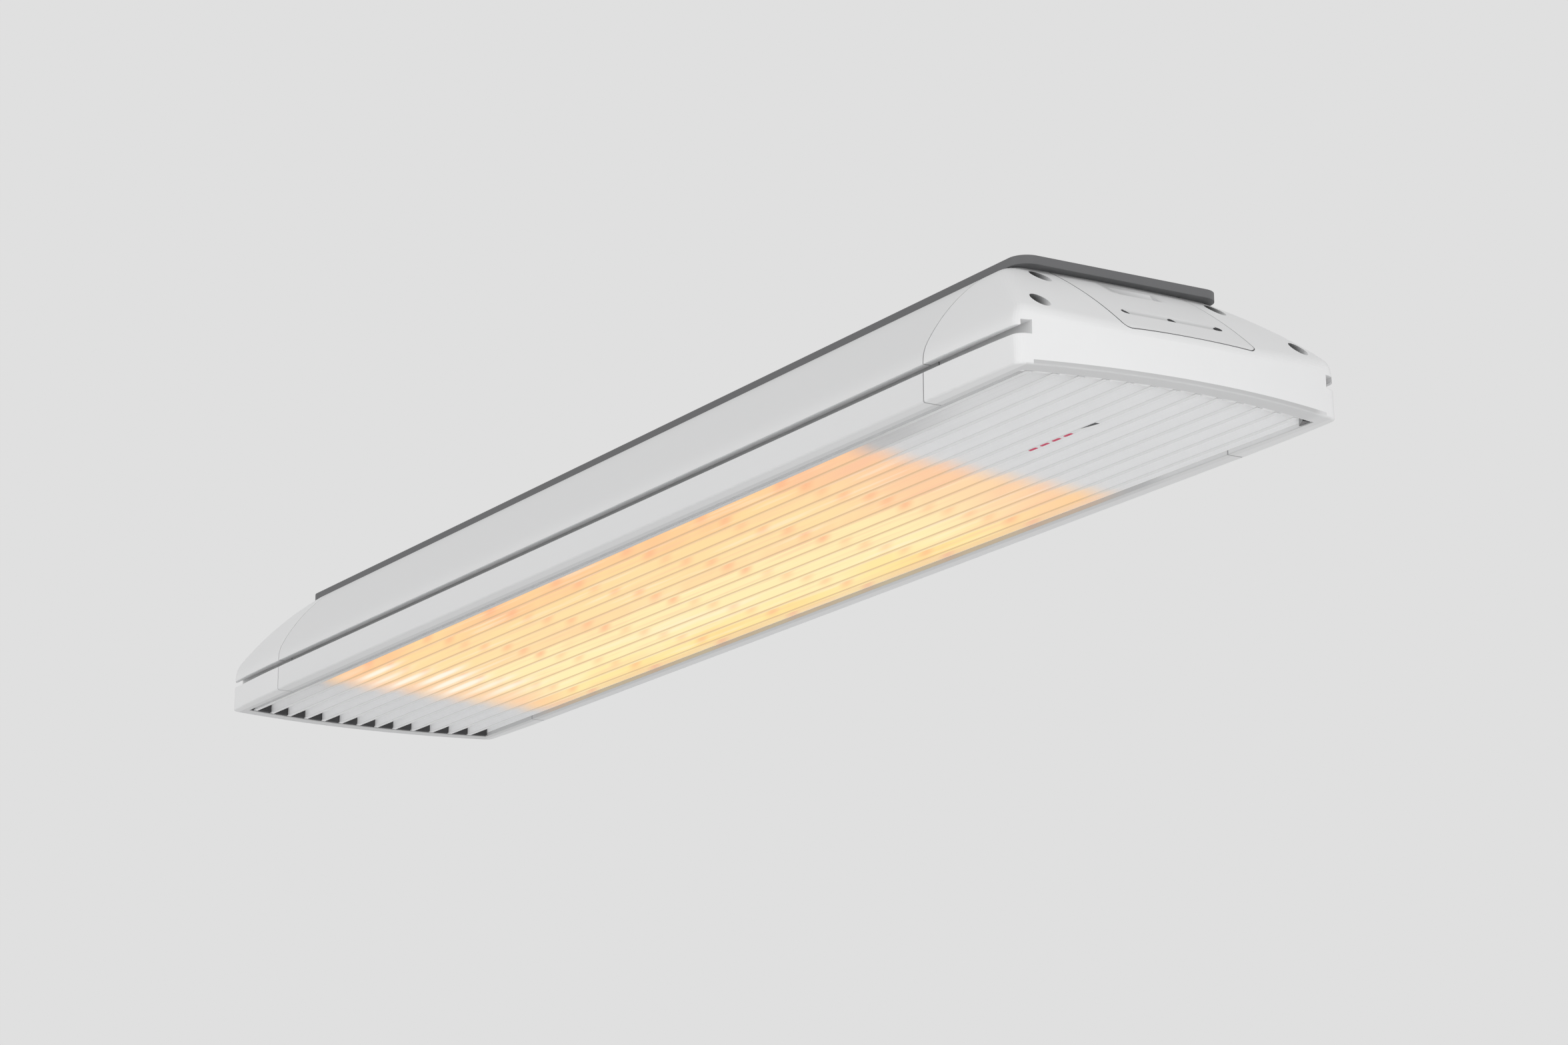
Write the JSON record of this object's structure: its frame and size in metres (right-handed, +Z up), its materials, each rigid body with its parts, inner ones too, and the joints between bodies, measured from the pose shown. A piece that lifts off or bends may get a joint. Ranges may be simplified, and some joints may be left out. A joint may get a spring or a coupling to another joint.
{
  "type": "radiant heater",
  "caption": "Long flat radiant heater for a ceiling, with an extruded housing, blended end caps, a folded front grille, reflector and lamps, and a mounting plate.",
  "frame": {"origin": "middle of the mounting plate's upper face, in the plane of the ceiling", "axes": "+Z up into the ceiling, +X along the heater to the control end, +Y across; the grille faces down"},
  "size_m": [0.957, 0.2, 0.075],
  "materials": {
    "housing_white": "fine matt white powder coat",
    "cap_white": "fine matt white powder coat",
    "cover_white": "fine matt white powder coat",
    "grille_white": "heat-proof matt enamel, lit from behind in the middle",
    "plate_grey": "dark anodised",
    "gasket_rubber": "matt",
    "seal_rubber": "matt",
    "bush_rubber": "matt",
    "screw_steel": "zinc plated",
    "screw_dark": "blackened",
    "receiver_dark": "infrared filter plastic",
    "light_red": "clear guide lit red",
    "reflector_bright": "bright rolled",
    "sheet_grey": "plain rolled",
    "mat_fibre": "ceramic fibre",
    "quartz": "clear quartz",
    "filament": "coiled resistance wire",
    "ceramic": "unglazed",
    "lead_sleeve": "woven glass sleeve",
    "board_green": "solder mask",
    "pillar_brass": "turned",
    "relay_black": "moulded",
    "capacitor_blue": "sleeve",
    "terminal_ivory": "moulded"
  },
  "bodies": {
    "root": {"housing": "housing_white", "end_cap_left": "cap_white", "end_cap_right": "cap_white", "end_gasket_left": "gasket_rubber", "end_gasket_right": "gasket_rubber", "end_cap_screws_left": "screw_steel", "end_cap_screws_right": "screw_steel", "connection_cover": "cover_white", "cover_screws": "screw_dark", "front_grille": "grille_white", "grille_seal_left": "seal_rubber", "grille_seal_right": "seal_rubber", "receiver_window": "receiver_dark", "light_guide": "light_red", "reflector": "reflector_bright", "reflector_end_left": "reflector_bright", "reflector_end_right": "reflector_bright", "insulation_mat": "mat_fibre", "heat_shield": "sheet_grey", "lamp_tube_front": "quartz", "lamp_tube_rear": "quartz", "lamp_filament_front": "filament", "lamp_filament_rear": "filament", "lamp_end_caps": "ceramic", "lamp_bracket_left": "sheet_grey", "lamp_bracket_right": "sheet_grey", "lamp_leads": "lead_sleeve", "control_tray": "sheet_grey", "control_board": "board_green", "board_pillars": "pillar_brass", "power_relays": "relay_black", "filter_capacitors": "capacitor_blue", "heat_sink": "sheet_grey", "terminal_block": "terminal_ivory", "mounting_plate": "plate_grey", "hanging_studs": "screw_steel", "cable_bush": "bush_rubber"}
  },
  "joints": []
}
